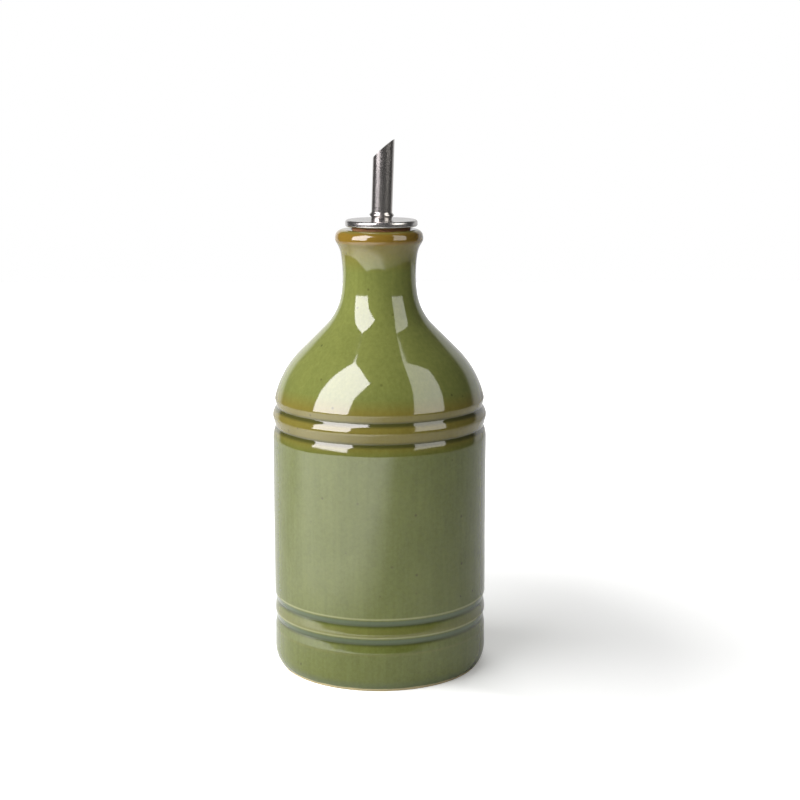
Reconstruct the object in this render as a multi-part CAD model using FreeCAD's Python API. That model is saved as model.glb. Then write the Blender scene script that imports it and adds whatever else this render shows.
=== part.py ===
"""Ceramic oil bottle with a steel pourer.

Four pieces: a glazed stoneware bottle, and the pourer pushed into its mouth, which is a tapered cork,
a steel disc that covers the cork, and a steel spout tube that runs down through both.

Millimetres, +Z up. The bottle's foot stands on z = 0 and its axis is the Z axis. The spout's slanted
end opens to -X.
"""
import FreeCAD, Part
import math
import os

# Bottle, outside
bottle_height = 164.4
body_diameter = 80.0
base_curve_radius = 10.5       # where the wall rounds in to the foot
base_curve_height = 6.6
shoulder_radius = 35.3
slope_angle = 45.0             # of the straight stretch of the shoulder, from the vertical
sweep_radius = 21.5            # hollow curve from the shoulder up into the neck
waist_radius = 48.5            # long hollow curve of the neck
waist_lower_angle = 8.0        # of the waist's curve, from its narrowest height down to the sweep
waist_upper_angle = 9.0        # and up to the flare
flare_radius = 10.0            # hollow curve under the lip
lip_radius = 3.2               # outer rounding of the lip

# Bottle, inside and underside
wall = 4.5
floor_thickness = 5.5
floor_corner_radius = 9.0
mouth_diameter = 21.4
mouth_rounding = 1.4
lip_breadth = 5.65             # from the mouth out to the widest of the lip
neck_wall = 3.9                # at the neck's waist
seat_depth = 23.0              # of the tapered seat that holds the cork
seat_taper = 2.5               # half angle of the seat and of the cork
foot_ring_width = 6.5
foot_recess_depth = 1.4
foot_recess_rounding = 1.0

# Turned grooves, a pair low on the body and a pair at the shoulder. Each groove has an upper wall that
# rises from its bottom and a lower wall that drops from it.
lower_groove_height = 18.2     # bottom of the pair's first groove above the foot
lower_groove_pitch = 7.0
lower_groove_rise = 2.6
lower_groove_drop = 2.2
lower_groove_depth = 1.2
upper_groove_offset = -2.2     # bottom of the pair's first groove above the start of the shoulder
upper_groove_pitch = 7.5
upper_groove_rise = 2.8
upper_groove_drop = 3.2
upper_groove_depth = 1.0
groove_bottom_rounding = 0.7
groove_upper_rounding = 1.6
groove_lower_rounding = 3.5

# Pourer
pourer_lean = 1.9              # cork and tube sit a little crooked in the mouth, towards +X
cork_length = 24.0
cork_top_gap = 1.1             # of cork that shows between the lip and the disc
cork_edge_rounding = 0.6
seat_clearance = 0.1
disc_diameter = 26.6
disc_thickness = 2.3
disc_top_rounding = 0.9
disc_bottom_rounding = 0.6
tube_diameter = 7.7
tube_wall = 0.5
tube_clearance = 0.05
tube_below_cork = 1.5
spout_height = 29.3            # of the tip above the disc
spout_cut_angle = 43.0         # of the slanted end, from the horizontal
spout_cut_turn = 13.0          # of the slanted end, turned about the tube from -X towards +Y
bead_height = 1.8              # of the pressed ring's middle above the disc
bead_rise = 0.7                # how far the ring stands out from the tube
bead_half_width = 0.9
bead_rounding = 0.25

# Cutting shapes and edge finding
overrun = 1.0                  # how far a cutting shape runs past the surface it cuts
near = 0.01                    # how near an edge lies to the place where it is looked for

# Worked out from the sizes above
body_radius = body_diameter / 2
foot_angle = math.asin(base_curve_height / base_curve_radius)
foot_radius = body_radius - base_curve_radius * (1 - math.cos(foot_angle))
mouth = mouth_diameter / 2
tube_outer = tube_diameter / 2
tube_inner = tube_outer - tube_wall
slope = math.radians(slope_angle)
taper = math.tan(math.radians(seat_taper))
lean = math.tan(math.radians(pourer_lean))
throat = mouth - seat_depth * taper
lip_outer = mouth + lip_breadth
neck_outer = throat + neck_wall
seat_floor = bottle_height - seat_depth
disc_bottom = bottle_height + cork_top_gap
disc_top = disc_bottom + disc_thickness
cork_bottom = disc_bottom - cork_length
spout_tip = disc_top + spout_height


def at(radius, height):
    return FreeCAD.Vector(radius, 0, height)


def on_arc(centre, radius, angle):
    """The point on an arc at an angle in radians, counted upwards from +X."""
    return centre + at(radius * math.cos(angle), radius * math.sin(angle))


def line(start, end):
    return Part.LineSegment(start, end).toShape()


def arc(centre, radius, first, last):
    points = [on_arc(centre, radius, angle) for angle in (first, (first + last) / 2, last)]
    return Part.Arc(*points).toShape()


def turned(edges):
    """A solid of revolution about Z from an outline in the XZ plane."""
    face = Part.Face(Part.Wire(Part.__sortEdges__(edges)))
    return face.revolve(at(0, 0), FreeCAD.Vector(0, 0, 1), 360)


def polygon(*points):
    return [line(start, end) for start, end in zip(points, points[1:] + points[:1])]


def on_lean(height):
    """The point at a height on the line that the cork and the tube follow."""
    return at((height - seat_floor) * lean, height)


def circles(shape, radius, height):
    """The round edges of a turned shape that lie at one radius and height."""
    found = []
    for edge in shape.Edges:
        if not isinstance(edge.Curve, Part.Circle):
            continue
        centre = edge.Curve.Center
        if abs(edge.Curve.Radius - radius) < near and abs(centre.z - height) < near:
            found.append(edge)
    return found


class Shoulder:
    """Centres and joints of the curves from the body up to the lip, solved from the lip down."""

    def __init__(self):
        upper = math.radians(waist_upper_angle)
        lower = math.radians(waist_lower_angle)
        self.lip_centre = at(lip_outer - lip_radius, bottle_height - lip_radius)
        spread = flare_radius + lip_radius
        reach = waist_radius * (1 - math.cos(upper)) + flare_radius * math.cos(upper) + lip_radius
        self.flare_angle = math.acos((reach - (lip_outer - neck_outer)) / spread)
        self.flare_centre = on_arc(self.lip_centre, spread, -self.flare_angle)
        join = on_arc(self.flare_centre, flare_radius, math.pi - upper)
        self.waist_centre = on_arc(join, waist_radius, -upper)
        join = on_arc(self.waist_centre, waist_radius, math.pi + lower)
        self.sweep_centre = on_arc(join, sweep_radius, lower)
        self.slope_top = on_arc(self.sweep_centre, sweep_radius, math.pi + slope)
        centre_radius = body_radius - shoulder_radius
        slope_foot_radius = centre_radius + shoulder_radius * math.cos(slope)
        run = (slope_foot_radius - self.slope_top.x) / math.sin(slope)
        self.slope_foot = at(slope_foot_radius, self.slope_top.z - run * math.cos(slope))
        self.start = self.slope_foot.z - shoulder_radius * math.sin(slope)
        self.centre = at(centre_radius, self.start)
        self.upper = upper
        self.lower = lower

    def radius_at(self, height):
        """Outer radius of the body or of the shoulder's curve at a height."""
        above = max(height - self.start, 0)
        return self.centre.x + math.sqrt(shoulder_radius ** 2 - above ** 2)


shoulder = Shoulder()


def outer_form():
    """The bottle's outer form, solid, before the grooves."""
    base_centre = at(body_radius - base_curve_radius, base_curve_height)
    crest = at(shoulder.lip_centre.x, bottle_height)
    return turned([
        line(at(0, 0), at(foot_radius, 0)),
        arc(base_centre, base_curve_radius, -foot_angle, 0),
        line(at(body_radius, base_curve_height), at(body_radius, shoulder.start)),
        arc(shoulder.centre, shoulder_radius, 0, slope),
        line(shoulder.slope_foot, shoulder.slope_top),
        arc(shoulder.sweep_centre, sweep_radius, math.pi + slope, math.pi + shoulder.lower),
        arc(shoulder.waist_centre, waist_radius, math.pi + shoulder.lower, math.pi - shoulder.upper),
        arc(shoulder.flare_centre, flare_radius, math.pi - shoulder.upper, math.pi - shoulder.flare_angle),
        arc(shoulder.lip_centre, lip_radius, -shoulder.flare_angle, math.pi / 2),
        line(crest, at(0, bottle_height)),
        line(at(0, bottle_height), at(0, 0)),
    ])


def limited(rounding, steepness, land):
    """A groove edge's rounding, kept within its half of the land between two grooves."""
    return min(rounding, land / 2 / math.tan(math.atan(steepness) / 2))


def grooved(body):
    """Cuts both pairs of grooves and rounds their bottoms and edges."""
    lower = (lower_groove_height, lower_groove_pitch,
             lower_groove_rise, lower_groove_drop, lower_groove_depth)
    upper = (shoulder.start + upper_groove_offset, upper_groove_pitch,
             upper_groove_rise, upper_groove_drop, upper_groove_depth)
    corners = {}
    for first, pitch, rise, drop, depth in (lower, upper):
        land = pitch - rise - drop
        for height in (first, first + pitch):
            bottom = at(shoulder.radius_at(height) - depth, height)
            top = at(shoulder.radius_at(height + rise), height + rise)
            foot = at(shoulder.radius_at(height - drop), height - drop)
            past_top = top + (top - bottom).normalize() * overrun
            past_foot = foot + (foot - bottom).normalize() * overrun
            body = body.cut(turned(polygon(past_top, bottom, past_foot)))
            for corner, rounding in (
                    (bottom, groove_bottom_rounding),
                    (top, limited(groove_upper_rounding, depth / rise, land)),
                    (foot, limited(groove_lower_rounding, depth / drop, land))):
                corners.setdefault(rounding, []).append(corner)
    for rounding, places in corners.items():
        edges = [edge for place in places for edge in circles(body, place.x, place.z)]
        body = body.makeFillet(rounding, edges)
    return body


def cavity():
    """The space under the seat. Its throat curve is as large as fits between the slope and the seat."""
    inner = body_radius - wall
    curve = shoulder_radius - wall
    slope_foot = on_arc(shoulder.centre, curve, slope)
    spare = (seat_floor - slope_foot.z) * math.tan(slope) - (slope_foot.x - throat)
    sweep = spare * math.cos(slope) / (1 - math.cos(slope))
    sweep_centre = at(throat + sweep, seat_floor)
    slope_top = on_arc(sweep_centre, sweep, math.pi + slope)
    corner_centre = at(inner - floor_corner_radius, floor_thickness + floor_corner_radius)
    return turned([
        line(at(0, floor_thickness), at(corner_centre.x, floor_thickness)),
        arc(corner_centre, floor_corner_radius, -math.pi / 2, 0),
        line(at(inner, corner_centre.z), at(inner, shoulder.start)),
        arc(shoulder.centre, curve, 0, slope),
        line(slope_foot, slope_top),
        arc(sweep_centre, sweep, math.pi + slope, math.pi),
        line(at(throat, seat_floor), at(0, seat_floor)),
        line(at(0, seat_floor), at(0, floor_thickness)),
    ])


def plug(low, high, gap):
    """A tapered plug along the leaning line, its ends level, that keeps a gap from the seat's wall."""
    ends = []
    for height in (low, high):
        radius = throat + (height - seat_floor) * taper - gap
        circle = Part.Circle(on_lean(height), FreeCAD.Vector(0, 0, 1), radius)
        ends.append(Part.Wire(circle.toShape()))
    return Part.makeLoft(ends, True, True)


def leaned(shape):
    """Leans a shape that was made upright onto the leaning line."""
    shape.rotate(on_lean(seat_floor), FreeCAD.Vector(0, 1, 0), pourer_lean)
    return shape


def tube_bore():
    """What is cut from the cork and the disc for the tube to run through."""
    return leaned(Part.makeCylinder(tube_outer + tube_clearance, spout_tip))


def make_bottle():
    body = grooved(outer_form()).cut(cavity())
    body = body.cut(plug(seat_floor, bottle_height + overrun, 0))
    mouth_edges = [edge for edge in body.Edges
                   if edge.BoundBox.ZMin > bottle_height - near
                   and edge.BoundBox.XMax < shoulder.lip_centre.x - near]
    body = body.makeFillet(mouth_rounding, mouth_edges)
    ring_inner = foot_radius - foot_ring_width
    recess = Part.makeCylinder(ring_inner, foot_recess_depth)
    recess = recess.makeFillet(foot_recess_rounding, circles(recess, ring_inner, foot_recess_depth))
    return body.cut(recess)


def make_cork():
    """The cork leans in its seat, and its ends are level, the top one under the disc."""
    cork = plug(cork_bottom, disc_bottom, seat_clearance)
    rim = [edge for edge in cork.Edges if edge.BoundBox.ZMax < cork_bottom + near]
    return cork.makeFillet(cork_edge_rounding, rim).cut(tube_bore())


def make_disc():
    """The disc lies level, centred on the cork."""
    radius = disc_diameter / 2
    disc = Part.makeCylinder(radius, disc_thickness, on_lean(disc_bottom))
    disc = disc.makeFillet(disc_top_rounding, circles(disc, radius, disc_top))
    disc = disc.makeFillet(disc_bottom_rounding, circles(disc, radius, disc_bottom))
    return disc.cut(tube_bore())


def make_spout():
    low = cork_bottom - tube_below_cork
    bead = disc_top + bead_height
    bead_outer = tube_outer + bead_rise
    outside = turned(polygon(
        at(0, low), at(tube_outer, low), at(tube_outer, bead - bead_half_width), at(bead_outer, bead),
        at(tube_outer, bead + bead_half_width), at(tube_outer, spout_tip), at(0, spout_tip)))
    edges = circles(outside, bead_outer, bead)
    for height in (bead - bead_half_width, bead + bead_half_width):
        edges += circles(outside, tube_outer, height)
    outside = outside.makeFillet(bead_rounding, edges)
    tube = outside.cut(Part.makeCylinder(tube_inner, spout_tip, at(0, 0)))
    side = 2 * spout_height
    cutter = Part.makeBox(side, side, side, FreeCAD.Vector(-side / 2, -side / 2, 0))
    cutter.rotate(at(0, 0), FreeCAD.Vector(0, 1, 0), -spout_cut_angle)
    cutter.rotate(at(0, 0), FreeCAD.Vector(0, 0, 1), -spout_cut_turn)
    rise = tube_outer * math.tan(math.radians(spout_cut_angle))
    cutter.translate(at(0, spout_tip - rise))
    return leaned(tube.cut(cutter))


os.makedirs("parts", exist_ok=True)
pieces = {"bottle": make_bottle, "cork": make_cork, "disc": make_disc, "spout": make_spout}
for name, make in pieces.items():
    shape = make()
    box = shape.optimalBoundingBox()
    shape.exportStep(f"parts/{name}.step")
    print(name, "valid", shape.isValid(), "solids", len(shape.Solids), "volume", round(shape.Volume),
          "z", round(box.ZMin, 2), round(box.ZMax, 2))
print("shoulder starts at", round(shoulder.start, 2))
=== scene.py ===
"""A glazed stoneware oil bottle with a corked steel pourer: its finishes, studio and camera.

Metres, +Z up. The bottle stands on z = 0 and its front faces -Y.
"""

import math

import bpy
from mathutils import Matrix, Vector


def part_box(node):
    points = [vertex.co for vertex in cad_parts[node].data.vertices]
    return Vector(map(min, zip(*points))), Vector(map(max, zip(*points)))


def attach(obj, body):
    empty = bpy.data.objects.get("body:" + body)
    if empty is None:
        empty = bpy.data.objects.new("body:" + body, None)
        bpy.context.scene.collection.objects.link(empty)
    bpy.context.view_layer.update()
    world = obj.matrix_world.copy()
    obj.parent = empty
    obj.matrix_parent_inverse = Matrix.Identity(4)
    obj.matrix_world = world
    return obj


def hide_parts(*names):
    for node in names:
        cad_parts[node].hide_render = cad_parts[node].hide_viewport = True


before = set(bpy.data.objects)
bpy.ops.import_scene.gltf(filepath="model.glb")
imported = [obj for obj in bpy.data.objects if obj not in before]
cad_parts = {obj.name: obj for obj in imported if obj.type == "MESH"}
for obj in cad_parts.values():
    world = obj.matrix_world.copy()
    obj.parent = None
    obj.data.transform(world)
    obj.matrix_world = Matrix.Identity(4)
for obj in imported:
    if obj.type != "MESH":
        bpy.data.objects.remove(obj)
bpy.context.view_layer.update()

mm = 0.001

# Bottle, outside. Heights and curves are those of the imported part.
bottle_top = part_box("bottle")[1].z
body_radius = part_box("bottle")[1].x
base_curve_radius = 10.5 * mm
base_curve_height = 6.6 * mm
shoulder_radius = 35.3 * mm
slope = math.radians(45)
sweep_radius = 21.5 * mm
waist_radius = 48.5 * mm
waist_lower = math.radians(8)
waist_upper = math.radians(9)
flare_radius = 10.0 * mm
lip_radius = 3.2 * mm
lip_breadth = 5.65 * mm

# Bottle, inside and underside
wall = 4.5 * mm
floor_thickness = 5.5 * mm
floor_corner_radius = 9.0 * mm
mouth_radius = 10.7 * mm
mouth_rounding = 1.4 * mm
neck_wall = 3.9 * mm
seat_depth = 23.0 * mm
seat_taper = math.tan(math.radians(2.5))
seat_lean = math.tan(math.radians(1.9))
foot_ring_width = 6.5 * mm
foot_recess_depth = 1.4 * mm
foot_recess_rounding = 1.0 * mm

# Turned grooves: heights of their bottoms, the upper pair's measured from the shoulder's start
low_groove_heights = (18.2 * mm, 25.2 * mm)
low_groove = {"rise": 2.6 * mm, "depth": 0.6 * mm, "upper": 0.5 * mm,
              "ledge": 0.5 * mm, "ledge_depth": 0.5 * mm, "ledge_rounding": 0.6 * mm,
              "drop": 3.4 * mm, "lower": 3.0 * mm}
high_groove_offsets = (-2.6 * mm, 4.9 * mm)
high_grooves = ({"rise": 3.6 * mm, "depth": 1.1 * mm, "upper": 5.0 * mm,
                 "ledge": 1.3 * mm, "ledge_depth": 0.52 * mm, "ledge_rounding": 4.0 * mm,
                 "drop": 3.6 * mm, "lower": 7.0 * mm},
                {"rise": 2.8 * mm, "depth": 1.15 * mm, "upper": 4.0 * mm,
                 "ledge": 1.2 * mm, "ledge_depth": 0.48 * mm, "ledge_rounding": 3.0 * mm,
                 "drop": 2.9 * mm, "lower": 4.0 * mm})
groove_bottom_rounding = 0.4 * mm

# Modelling
turning_steps = 176
fine_step = 0.9 * mm            # longest side of a face along the outside's outline
coarse_step = 5.0 * mm          # and along the inside's
hand_wave = 0.22 * mm           # how far the thrown wall wanders in from true
hand_wave_size = 34.0 * mm


def on_arc(centre, radius, angle):
    return Vector((centre.x + radius * math.cos(angle), 0, centre.z + radius * math.sin(angle)))


def point(radius, height):
    return Vector((radius, 0, height))


def arc(centre, radius, first, last, step):
    count = max(2, math.ceil(abs(last - first) * radius / step))
    return [on_arc(centre, radius, first + (last - first) * i / count) for i in range(count + 1)]


def line(start, end, step):
    count = max(1, math.ceil((end - start).length / step))
    return [start.lerp(end, i / count) for i in range(count + 1)]


def rounded(before, corner, after, radius, parts=5):
    """Points of the arc that rounds a corner of an outline, at most up to the middles of its sides."""
    back = (before - corner).normalized()
    on = (after - corner).normalized()
    half = back.angle(on) / 2
    room = min((before - corner).length, (after - corner).length) / 2
    radius = min(radius, room * math.tan(half))
    centre = corner + (back + on).normalized() * (radius / math.sin(half))
    start = corner + back * (radius / math.tan(half)) - centre
    end = corner + on * (radius / math.tan(half)) - centre
    return [centre + start.lerp(end, i / parts).normalized() * radius for i in range(parts + 1)]


class Form:
    """The bottle's outline, solved from the lip down as tangent curves."""

    def __init__(self):
        throat = mouth_radius - seat_depth * seat_taper
        neck = throat + neck_wall
        lip = mouth_radius + lip_breadth
        self.lip_centre = point(lip - lip_radius, bottle_top - lip_radius)
        spread = flare_radius + lip_radius
        reach = waist_radius * (1 - math.cos(waist_upper)) + flare_radius * math.cos(waist_upper) + lip_radius
        self.flare_angle = math.acos((reach - (lip - neck)) / spread)
        self.flare_centre = on_arc(self.lip_centre, spread, -self.flare_angle)
        join = on_arc(self.flare_centre, flare_radius, math.pi - waist_upper)
        self.waist_centre = on_arc(join, waist_radius, -waist_upper)
        join = on_arc(self.waist_centre, waist_radius, math.pi + waist_lower)
        self.sweep_centre = on_arc(join, sweep_radius, waist_lower)
        self.slope_top = on_arc(self.sweep_centre, sweep_radius, math.pi + slope)
        hub = body_radius - shoulder_radius
        slope_foot = hub + shoulder_radius * math.cos(slope)
        run = (slope_foot - self.slope_top.x) / math.tan(slope)
        self.slope_foot = point(slope_foot, self.slope_top.z - run)
        self.start = self.slope_foot.z - shoulder_radius * math.sin(slope)
        self.hub = point(hub, self.start)
        self.throat = throat
        self.seat_floor = bottle_top - seat_depth
        self.foot_angle = math.asin(base_curve_height / base_curve_radius)
        self.foot = body_radius - base_curve_radius * (1 - math.cos(self.foot_angle))

    def radius_at(self, height):
        above = max(height - self.start, 0)
        return self.hub.x + math.sqrt(shoulder_radius ** 2 - above ** 2)

    def grooves(self):
        """Height of the bottom and form of each groove, from the lowest up."""
        low = [(height, low_groove) for height in low_groove_heights]
        return low + [(self.start + offset, groove) for offset, groove in zip(high_groove_offsets, high_grooves)]

    def outside(self):
        """From the foot ring's outer edge up to the crest of the lip."""
        base_centre = point(body_radius - base_curve_radius, base_curve_height)
        rows = arc(base_centre, base_curve_radius, -self.foot_angle, 0, fine_step)
        corners = []
        for height, groove in self.grooves():
            low = height - groove["drop"]
            ledge = height - groove["ledge"]
            high = height + groove["rise"]
            corners.append((point(self.radius_at(low), low), groove["lower"]))
            corners.append((point(self.radius_at(ledge) - groove["ledge_depth"], ledge), groove["ledge_rounding"]))
            corners.append((point(self.radius_at(height) - groove["depth"], height), groove_bottom_rounding))
            corners.append((point(self.radius_at(high), high), groove["upper"]))
        last_angle = math.asin((corners[-1][0].z - self.start) / shoulder_radius)
        shoulder = arc(self.hub, shoulder_radius, last_angle, slope, fine_step)
        stops = [rows[-1]] + [corner for corner, _ in corners] + [shoulder[1]]
        for i, (corner, rounding) in enumerate(corners, 1):
            bend = rounded(stops[i - 1], corner, stops[i + 1], rounding)
            rows += line(rows[-1], bend[0], fine_step)[1:] + bend[1:]
        rows += shoulder[1:]
        rows += line(self.slope_foot, self.slope_top, fine_step)[1:]
        rows += arc(self.sweep_centre, sweep_radius, math.pi + slope, math.pi + waist_lower, fine_step)[1:]
        rows += arc(self.waist_centre, waist_radius, math.pi + waist_lower, math.pi - waist_upper, fine_step)[1:]
        rows += arc(self.flare_centre, flare_radius, math.pi - waist_upper, math.pi - self.flare_angle,
                    fine_step)[1:]
        rows += arc(self.lip_centre, lip_radius, -self.flare_angle, math.pi / 2, fine_step / 2)[1:]
        return rows

    def inside(self):
        """From the mouth down the seat and the throat to the middle of the floor."""
        edge = point(mouth_radius, bottle_top)
        seat_foot = point(self.throat, self.seat_floor)
        bend = rounded(self.lip_centre + point(0, lip_radius), edge, seat_foot, mouth_rounding)
        rows = bend + line(bend[-1], seat_foot, coarse_step)[1:]
        curve = shoulder_radius - wall
        slope_foot = on_arc(self.hub, curve, slope)
        spare = (self.seat_floor - slope_foot.z) * math.tan(slope) - (slope_foot.x - self.throat)
        sweep = spare * math.cos(slope) / (1 - math.cos(slope))
        sweep_centre = point(self.throat + sweep, self.seat_floor)
        rows += arc(sweep_centre, sweep, math.pi, math.pi + slope, coarse_step)[1:]
        rows += arc(self.hub, curve, slope, 0, coarse_step)
        corner = point(body_radius - wall - floor_corner_radius, floor_thickness + floor_corner_radius)
        wall_foot = corner + point(floor_corner_radius, 0)
        rows += line(rows[-1], wall_foot, coarse_step)[1:]
        rows += arc(corner, floor_corner_radius, 0, -math.pi / 2, coarse_step / 2)[1:]
        rows += line(rows[-1], point(0, floor_thickness), coarse_step)[1:]
        return rows

    def underside(self):
        """From the middle of the recess out to the foot ring's outer edge."""
        ring_inner = self.foot - foot_ring_width
        middle = point(0, foot_recess_depth)
        top = point(ring_inner, foot_recess_depth)
        bend = rounded(middle, top, point(ring_inner, 0), foot_recess_rounding)
        rows = line(middle, bend[0], coarse_step) + bend[1:]
        return rows + [point(ring_inner, 0), point(self.foot, 0)]


# ---- Modelling by hand

def select_only(piece):
    bpy.ops.object.select_all(action="DESELECT")
    piece.select_set(True)
    bpy.context.view_layer.objects.active = piece


def turned(name, outline, steps):
    """A piece turned about the Z axis: an outline pulled out point by point, then spun."""
    bpy.ops.object.select_all(action="DESELECT")
    bpy.ops.mesh.primitive_plane_add(size=mm, location=outline[0])
    piece = bpy.context.object
    piece.name = name
    bpy.ops.object.transform_apply(location=True, rotation=True, scale=True)
    bpy.ops.object.mode_set(mode="EDIT")
    bpy.ops.mesh.select_all(action="SELECT")
    bpy.ops.mesh.merge(type="CENTER")
    for start, end in zip(outline, outline[1:]):
        bpy.ops.mesh.extrude_vertices_move(TRANSFORM_OT_translate={"value": end - start})
    bpy.ops.mesh.select_all(action="SELECT")
    bpy.ops.mesh.spin(steps=steps, angle=math.tau, center=(0, 0, 0), axis=(0, 0, 1))
    bpy.ops.mesh.select_all(action="SELECT")
    bpy.ops.mesh.remove_doubles(threshold=0.01 * mm)
    bpy.ops.mesh.normals_make_consistent(inside=False)
    bpy.ops.object.mode_set(mode="OBJECT")
    bpy.ops.object.shade_smooth()
    return piece


def wandered(piece, size, depth, weight):
    """Lets a wall wander in by up to a depth, where a weight from 0 to 1 says so."""
    group = piece.vertex_groups.new(name="hand")
    for vertex in piece.data.vertices:
        group.add([vertex.index], weight(vertex.co), "REPLACE")
    clouds = bpy.data.textures.new("hand", "CLOUDS")
    clouds.noise_scale = size
    clouds.noise_depth = 1
    modifier = piece.modifiers.new("hand", "DISPLACE")
    modifier.texture = clouds
    modifier.texture_coords = "LOCAL"
    modifier.vertex_group = group.name
    modifier.mid_level = 1.0
    modifier.strength = depth
    select_only(piece)
    bpy.ops.object.modifier_apply(modifier=modifier.name)
    piece.vertex_groups.clear()


def make_bottle(form):
    """The thrown bottle: foot, grooved wall, shoulder, neck and lip outside, and the free space inside."""
    outline = form.underside() + form.outside()[1:] + form.inside()
    piece = turned("bottle_body", outline, turning_steps)
    for vertex in piece.data.vertices:
        spot = vertex.co
        in_mouth = math.hypot(spot.x, spot.y) < mouth_radius + mouth_rounding
        if in_mouth and spot.z > form.seat_floor:
            spot.x += (spot.z - form.seat_floor) * seat_lean

    def outer_wall(spot):
        radius = math.hypot(spot.x, spot.y)
        skin = form.radius_at(spot.z) if spot.z < form.slope_foot.z else 0
        outer = radius > skin - wall / 2
        return min(1, max(0, (spot.z - 4 * mm) / (8 * mm))) if outer and spot.z < bottle_top - 2 * mm else 0

    wandered(piece, hand_wave_size, hand_wave, outer_wall)
    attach(piece, "root")
    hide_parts("bottle")
    return piece


# ---- Shader graphs

class Value:
    """A number in a shader graph, for use in Python expressions."""

    def __init__(self, finish, socket):
        self.finish = finish
        self.socket = socket

    def maths(self, operation, first, second=0.0):
        node = self.finish.node("ShaderNodeMath", {"operation": operation}, {0: first, 1: second})
        return Value(self.finish, node.outputs[0])

    def __add__(self, other):
        return self.maths("ADD", self, other)

    __radd__ = __add__

    def __sub__(self, other):
        return self.maths("SUBTRACT", self, other)

    def __neg__(self):
        return self * -1.0

    def __rsub__(self, other):
        return self.maths("SUBTRACT", other, self)

    def __mul__(self, other):
        return self.maths("MULTIPLY", self, other)

    __rmul__ = __mul__

    def __truediv__(self, other):
        return self.maths("DIVIDE", self, other)

    def __pow__(self, other):
        return self.maths("POWER", self, other)

    def at_most(self, other):
        return self.maths("MINIMUM", self, other)

    def at_least(self, other):
        return self.maths("MAXIMUM", self, other)

    def clamped(self):
        return self.at_least(0.0).at_most(1.0)

    def rise(self, start, end):
        """0 up to one value, 1 from another on, and even between them."""
        return ((self - start) / (end - start)).clamped()

    def band(self, low, high, soft):
        """1 between two values and 0 outside them, with soft edges."""
        return self.rise(low - soft, low + soft) * (1 - self.rise(high - soft, high + soft))


class Finish:
    """A material's node graph."""

    def __init__(self, name):
        self.material = bpy.data.materials.new(name)
        self.material.use_nodes = True
        self.tree = self.material.node_tree
        self.tree.nodes.clear()
        self.shader = self.node("ShaderNodeBsdfPrincipled")
        out = self.node("ShaderNodeOutputMaterial")
        self.tree.links.new(self.shader.outputs[0], out.inputs["Surface"])

    def node(self, kind, settings=None, values=None):
        """Adds a node: its settings first, then its sockets' values or links."""
        node = self.tree.nodes.new(kind)
        for key, setting in (settings or {}).items():
            setattr(node, key, setting)
        for key, value in (values or {}).items():
            self.feed(node.inputs[key], value)
        return node

    def feed(self, socket, value):
        if isinstance(value, Value):
            value = value.socket
        if isinstance(value, bpy.types.NodeSocket):
            self.tree.links.new(value, socket)
        else:
            socket.default_value = value

    def shading(self, **values):
        for name, value in values.items():
            self.feed(self.shader.inputs[name.replace("_", " ")], value)

    def place(self):
        """The place on the piece, and its three coordinates in millimetres."""
        coordinates = self.node("ShaderNodeTexCoord").outputs["Object"]
        scaled = self.node("ShaderNodeVectorMath", {"operation": "SCALE"}, {0: coordinates, "Scale": 1 / mm})
        spot = scaled.outputs[0]
        parts = self.node("ShaderNodeSeparateXYZ", None, {0: spot}).outputs
        return spot, [Value(self, part) for part in parts]

    def noise(self, spot, size, detail=2.0, stretch=(1, 1, 1), roughness=0.5):
        """Soft noise from 0 to 1 whose lumps are about a size in millimetres."""
        mapped = self.node("ShaderNodeMapping", None, {
            "Vector": spot, "Scale": [1 / (size * part) for part in stretch]})
        node = self.node("ShaderNodeTexNoise", None, {
            "Vector": mapped.outputs[0], "Scale": 1.0, "Detail": detail, "Roughness": roughness})
        return Value(self, node.outputs[0])

    def specks(self, spot, size, share):
        """Round specks, one at most in each cell of a size, in a share of the cells."""
        mapped = self.node("ShaderNodeMapping", None, {"Vector": spot, "Scale": [1 / size] * 3})
        cells = self.node("ShaderNodeTexVoronoi", None, {"Vector": mapped.outputs[0], "Scale": 1.0})
        near = 1 - Value(self, cells.outputs["Distance"]).rise(0.06, 0.16)
        chance = self.node("ShaderNodeSeparateColor", None, {0: cells.outputs["Color"]}).outputs[0]
        return near * (1 - Value(self, chance).rise(share, share + 0.02))

    def mixed(self, share, first, second):
        """A colour between two colours."""
        node = self.node("ShaderNodeMix", {"data_type": "RGBA"}, {
            0: share, 6: self.colour(first), 7: self.colour(second)})
        return node.outputs[2]

    def colour(self, value):
        return (*value, 1.0) if isinstance(value, tuple) and len(value) == 3 else value

    def bumped(self, height, depth, **after):
        """A normal from a height of 0 to 1 that stands for a depth in millimetres."""
        values = {"Strength": 1.0, "Distance": depth * mm, "Height": height}
        values.update(after)
        return self.node("ShaderNodeBump", None, values).outputs[0]


# ---- Finishes

olive = (0.164, 0.185, 0.044)
deep_olive = (0.110, 0.130, 0.024)
# The lighter olive is painted sheen, laid on up the shoulder.
sheen_olive = (0.225, 0.246, 0.062)
amber = (0.240, 0.140, 0.016)
tan = (0.228, 0.196, 0.058)
crest_highlight = (0.43, 0.43, 0.22)
pool_green = (0.090, 0.128, 0.078)
pooled_glaze_and_shade = (0.046, 0.050, 0.010)
speck_brown = (0.050, 0.047, 0.015)
clay = (0.62, 0.52, 0.28)


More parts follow.
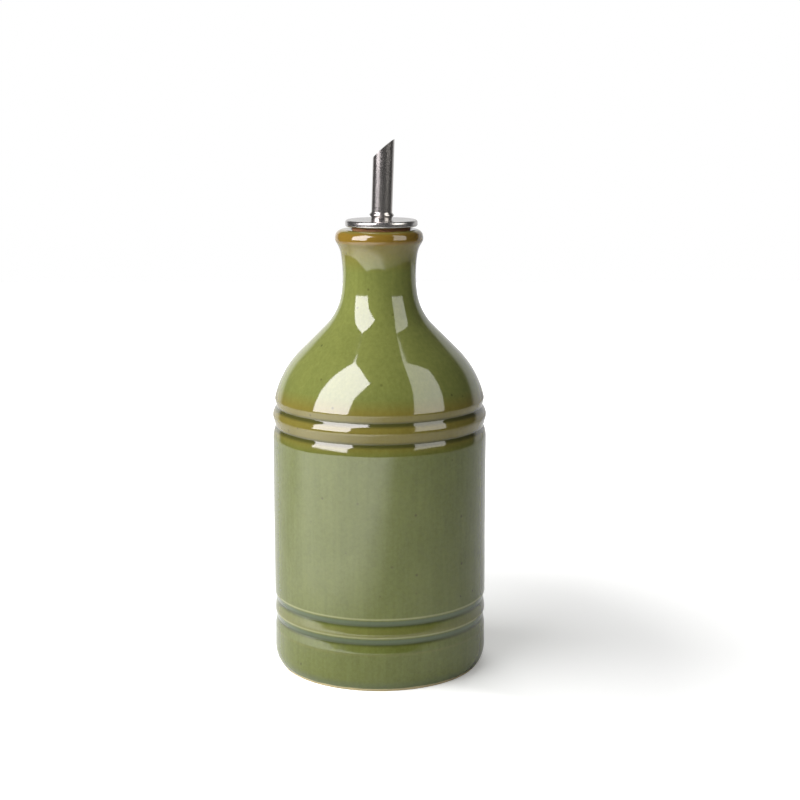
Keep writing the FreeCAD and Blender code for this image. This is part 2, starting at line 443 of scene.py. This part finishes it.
def glaze_finish(form):
    """Glossy olive glaze, amber where it runs thin, deeper where it pools, over bare clay at the foot; painted shade
    darkens the groove bottoms, a painted highlight lines the low grooves' crests and painted sheen lightens the
    shoulder and the high grooves' walls.
    """
    glaze = Finish("olive_glaze")
    spot, (x, y, z) = glaze.place()
    drift = glaze.noise(spot, 9, stretch=(1, 1, 1.4))
    height = z + (drift - 0.5) * 0.8
    mottle = glaze.noise(spot, 1.3, detail=4, roughness=0.7)
    clouds = glaze.noise(spot, 14, detail=3)
    streaks = glaze.noise(spot, 1.6, detail=3, stretch=(1, 1, 16))
    start = form.start / mm
    tone = mottle.rise(0.36, 0.64) * 0.45 + streaks.rise(0.35, 0.65) * 0.3 + clouds.rise(0.35, 0.65) * 0.25
    # Painted sheen: the glaze is painted lighter up the shoulder, in place of the soft haze of the key light's
    # reflection there.
    upper = z.rise(start - 8, start + 20)
    colour = glaze.mixed(tone, glaze.mixed(upper, olive, sheen_olive), glaze.mixed(upper, deep_olive, olive))
    colour = glaze.mixed(height.band(start - 5, start + 11, 2.5) * 0.45, colour, amber)
    neck_top = (form.lip_centre.z - 3 * mm) / mm
    colour = glaze.mixed(height.rise(neck_top - 9, neck_top) * 0.5, colour, amber)
    for groove, form_of in form.grooves():
        bottom = groove / mm
        crest = bottom + form_of["rise"] / mm
        foot = bottom - form_of["drop"] / mm
        low = groove < form.start / 2
        if low:
            colour = glaze.mixed(z.band(bottom - 0.3, crest - 0.7, 0.3) * 0.75, colour, pool_green)
            # Painted highlight: a light line along each low groove's crest, where the crisp edge catches the light.
            colour = glaze.mixed(z.band(crest - 0.35, crest + 0.3, 0.2) * 0.55, colour, crest_highlight)
            colour = glaze.mixed(z.band(foot - 0.9, foot - 0.1, 0.3) * 0.2, colour, tan)
        else:
            # Partly the tan of thin glaze, partly painted sheen: the upper part of each high groove's wall is painted
            # pale where it mirrors the table.
            colour = glaze.mixed(z.band(bottom + 1.5, crest - 0.2, 0.9) * 0.4, colour, tan)
        # Partly pooled glaze, partly painted shade: the groove bottoms and the wall just under them are painted dark.
        pool_and_shade = z.band(bottom - (0.8 if low else 1.2), bottom + 0.5, 0.35 if low else 0.5)
        colour = glaze.mixed(pool_and_shade * (0.55 if low else 0.85), colour, pooled_glaze_and_shade)
    between = z.band(low_groove_heights[0] / mm + 2.9, low_groove_heights[1] / mm - 1.3, 0.4)
    colour = glaze.mixed(between * 0.25, colour, tan)
    edge = (form.lip_centre.z - 1.4 * mm) / mm
    colour = glaze.mixed(height.rise(edge - 0.5, edge + 0.5) * 0.9, colour, amber)
    brim = (form.lip_centre.z + 2.5 * mm) / mm
    colour = glaze.mixed(height.rise(brim - 0.3, brim + 0.4) * 0.5, colour, olive)
    colour = glaze.mixed(z.band(0, 3.0, 1.4) * 0.45, colour, pool_green)
    specks = glaze.specks(spot, 4.2, 0.16)
    colour = glaze.mixed(specks * 0.6, colour, speck_brown)
    bare = 1 - (z + (drift - 0.5) * 0.6).rise(0.95, 1.25)
    colour = glaze.mixed(bare, colour, clay)
    ripple = glaze.noise(spot, 7.0, detail=1)
    orange_peel = glaze.noise(spot, 0.7, detail=2)
    glaze.shading(Base_Color=colour, Roughness=0.05 + mottle * 0.03 + bare * 0.5, IOR=1.58,
                  Normal=glaze.bumped(ripple * 0.9 + orange_peel * 0.02, 0.03))
    return glaze.material


def steel_finish(name, dark, light, roughness, lines):
    """Drawn stainless steel."""
    steel = Finish(name)
    spot, _ = steel.place()
    grain = steel.noise(spot, 0.35, detail=3, stretch=lines)
    wear = steel.noise(spot, 4.0, detail=3)
    colour = steel.mixed(grain * 0.6 + wear * 0.3, dark, light)
    steel.shading(Base_Color=colour, Metallic=1.0, Roughness=roughness + grain * 0.06,
                  Normal=steel.bumped(grain, 0.012))
    return steel.material


def cork_finish():
    """Fine reddish brown cork with dark pores."""
    cork = Finish("brown_cork")
    spot, _ = cork.place()
    grain = cork.noise(spot, 0.7, detail=4)
    pores = cork.specks(spot, 0.9, 0.5)
    colour = cork.mixed(grain, (0.42, 0.165, 0.07), (0.56, 0.27, 0.125))
    colour = cork.mixed(pores * 0.7, colour, (0.09, 0.035, 0.015))
    cork.shading(Base_Color=colour, Roughness=0.8, Normal=cork.bumped(grain - pores, 0.15))
    return cork.material


def finish_with(piece, material):
    piece.data.materials.clear()
    piece.data.materials.append(material)


# ---- Studio

# The white table's outline; beyond its edges the studio is dark
table_back = 1.2
table_outline = [(-0.465, table_back), (-0.465, -0.56), (0.20, -0.62), (0.47, -0.40), (0.56, -0.15), (0.65, 0.30),
                 (0.65, table_back)]


def soft_box(name, corners, colour, strength, unevenness):
    """A flat lit cloth that is mirrored in the glaze and the steel."""
    panel = flat_piece(name, corners)
    material = bpy.data.materials.new(name)
    material.use_nodes = True
    tree = material.node_tree
    tree.nodes.clear()
    light = tree.nodes.new("ShaderNodeEmission")
    light.inputs["Color"].default_value = (*colour, 1)
    grain = tree.nodes.new("ShaderNodeTexNoise")
    grain.inputs["Scale"].default_value = 40
    tree.links.new(tree.nodes.new("ShaderNodeTexCoord").outputs["Object"], grain.inputs["Vector"])
    level = tree.nodes.new("ShaderNodeMapRange")
    level.inputs["From Min"].default_value = 0.25
    level.inputs["From Max"].default_value = 0.75
    level.inputs["To Min"].default_value = strength * (1 - unevenness)
    level.inputs["To Max"].default_value = strength * (1 + unevenness)
    tree.links.new(grain.outputs[0], level.inputs["Value"])
    tree.links.new(level.outputs[0], light.inputs["Strength"])
    out = tree.nodes.new("ShaderNodeOutputMaterial")
    tree.links.new(light.outputs[0], out.inputs["Surface"])
    finish_with(panel, material)
    panel.visible_camera = False
    panel.visible_diffuse = False
    return panel


def upright(azimuth, distance, outline):
    """Corners of an upright card that faces the bottle, from (aside, height) pairs."""
    out = Vector((math.sin(azimuth), -math.cos(azimuth), 0))
    aside = Vector((math.cos(azimuth), math.sin(azimuth), 0))
    return [out * distance + aside * across + Vector((0, 0, height)) for across, height in outline]


def flat_piece(name, corners):
    """A flat piece with the given corners."""
    mesh = bpy.data.meshes.new(name)
    mesh.from_pydata(corners, [], [range(len(corners))])
    piece = bpy.data.objects.new(name, mesh)
    bpy.context.scene.collection.objects.link(piece)
    return piece


def make_floor():
    floor = flat_piece("table", [(x, y, 0) for x, y in table_outline])
    finish = Finish("white_table")
    spot, _ = finish.place()
    tone = finish.noise(spot, 40)
    finish.shading(Base_Color=finish.mixed(tone, (0.84, 0.84, 0.84), (0.86, 0.86, 0.86)), Roughness=0.9)
    finish.shader.inputs["Specular IOR Level"].default_value = 0.0
    x, y, z = [Value(finish, part) for part in finish.node("ShaderNodeSeparateXYZ", None, {0: spot}).outputs]
    away = (x * x + y * y) ** 0.5
    ray = finish.node("ShaderNodeLightPath").outputs
    ahead = x * -1.0 - y * 0.5
    # Painted reflection: seen in the glaze and the steel, the table's front left glows brighter than it is lit.
    mirrored = Value(finish, ray["Is Glossy Ray"]) * ahead.rise(70, 180) * (1 - y.rise(-60, 60))
    # Painted light: for the eye the table glows white away from the bottle and off the side of its cast shadow,
    # leaving the shadow's core.
    off_shadow = x * -1.0 - y * 1.5
    clear = (0.31 + away.rise(110, 330) + off_shadow.rise(15, 90)).at_most(1.0) * Value(finish, ray["Is Camera Ray"])
    finish.feed(finish.shader.inputs["Emission Color"], (1.0, 1.0, 0.98, 1.0))
    finish.feed(finish.shader.inputs["Emission Strength"], mirrored * 1.6 + clear * 0.8)
    finish_with(floor, finish.material)


def soft_light(name, azimuth, elevation, distance, width, height, power):
    """A broad light that shapes the shading and the shadow, and is not itself mirrored in the glaze."""
    data = bpy.data.lights.new(name, "AREA")
    data.shape = "RECTANGLE"
    data.size = width
    data.size_y = height
    data.energy = power
    lamp = bpy.data.objects.new(name, data)
    bpy.context.scene.collection.objects.link(lamp)
    level = math.cos(elevation)
    out = Vector((math.sin(azimuth) * level, -math.cos(azimuth) * level, math.sin(elevation)))
    lamp.location = out * distance + Vector((0, 0, bottle_top / 2))
    lamp.rotation_euler = (-out).to_track_quat("-Z", "Y").to_euler()
    lamp.visible_glossy = False


def make_lights():
    key = [(-1.10, 0.285), (-0.045, 0.285), (0.03, 0.80), (0.39, 1.70), (-1.26, 4.70)]
    soft_box("key_soft_box", upright(math.radians(-32.8), 1.18, key), (1.0, 0.96, 1.0), 11.2, 0.06)
    fill = [(-0.34, 0.28), (0.27, 0.235), (0.65, 1.40), (0.36, 2.85), (-0.06, 1.53)]
    soft_box("side_soft_box", upright(math.radians(56.8), 0.926, fill), (1.0, 0.98, 0.94), 3.7, 0.35)
    soft_light("left_light", math.radians(-66), math.radians(36), 0.9, 1.3, 0.7, 14.2)
    soft_light("front_light", 0, math.radians(25), 0.9, 0.5, 0.5, 1.2)
    soft_light("top_light", 0, math.radians(90), 1.2, 1.1, 1.1, 1.4)
    soft_light("back_light", math.radians(180), math.radians(38), 1.2, 0.9, 0.9, 6.8)


def make_world():
    """White for the eye; in mirrored light, white walls behind and beside the bottle and a dark room in front."""
    world = bpy.data.worlds.new("studio")
    bpy.context.scene.world = world
    world.use_nodes = True
    tree = world.node_tree
    tree.nodes.clear()

    def node(kind, **values):
        made = tree.nodes.new(kind)
        for key, value in values.items():
            made.inputs[key.replace("_", " ")].default_value = value
        return made

    parts = node("ShaderNodeSeparateXYZ")
    tree.links.new(node("ShaderNodeTexCoord").outputs["Generated"], parts.inputs[0])
    behind = node("ShaderNodeMath")
    behind.operation = "MULTIPLY_ADD"
    behind.inputs[1].default_value = -0.4
    tree.links.new(parts.outputs["Z"], behind.inputs[0])
    tree.links.new(parts.outputs["Y"], behind.inputs[2])
    turned_right = node("ShaderNodeMath")
    turned_right.operation = "MULTIPLY_ADD"
    turned_right.inputs[1].default_value = 0.12
    tree.links.new(parts.outputs["X"], turned_right.inputs[0])
    tree.links.new(behind.outputs[0], turned_right.inputs[2])
    back = node("ShaderNodeMapRange", From_Min=0.58, From_Max=0.70, To_Min=0.09, To_Max=1.0)
    tree.links.new(turned_right.outputs[0], back.inputs["Value"])
    side = node("ShaderNodeMapRange", From_Min=-0.3, From_Max=0.3, To_Min=1.1, To_Max=0.8)
    tree.links.new(parts.outputs["X"], side.inputs["Value"])
    walls = node("ShaderNodeMath")
    walls.operation = "MULTIPLY"
    tree.links.new(back.outputs[0], walls.inputs[0])
    tree.links.new(side.outputs[0], walls.inputs[1])
    eye = node("ShaderNodeLightPath")
    mirrored = node("ShaderNodeMath")
    mirrored.operation = "MULTIPLY"
    tree.links.new(walls.outputs[0], mirrored.inputs[0])
    tree.links.new(eye.outputs["Is Glossy Ray"], mirrored.inputs[1])
    seen = node("ShaderNodeMath")
    seen.operation = "ADD"
    tree.links.new(mirrored.outputs[0], seen.inputs[0])
    tree.links.new(eye.outputs["Is Camera Ray"], seen.inputs[1])
    light = node("ShaderNodeBackground", Color=(1, 1, 1, 1))
    tree.links.new(seen.outputs[0], light.inputs["Strength"])
    out = node("ShaderNodeOutputWorld")
    tree.links.new(light.outputs[0], out.inputs["Surface"])


def make_camera():
    data = bpy.data.cameras.new("camera")
    camera = bpy.data.objects.new("camera", data)
    bpy.context.scene.collection.objects.link(camera)
    data.sensor_width = 36
    data.lens = 73.49
    data.clip_start = 0.01
    data.clip_end = 20
    camera.location = (0, -0.600, 0.2169)
    camera.rotation_euler = (math.radians(90 - 10.982), 0, math.radians(-0.73))
    bpy.context.scene.camera = camera


form = Form()
bottle = make_bottle(form)
finish_with(bottle, glaze_finish(form))
finish_with(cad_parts["cork"], cork_finish())
finish_with(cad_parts["disc"], steel_finish("disc_steel", (0.36, 0.345, 0.33), (0.58, 0.565, 0.55), 0.22, (1, 1, 1)))
finish_with(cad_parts["spout"], steel_finish("spout_steel", (0.36, 0.34, 0.325), (0.58, 0.55, 0.53), 0.20, (1, 1, 14)))
make_floor()
make_lights()
make_world()
make_camera()
bpy.context.scene.view_settings.view_transform = "Standard"

bpy.context.view_layer.update()
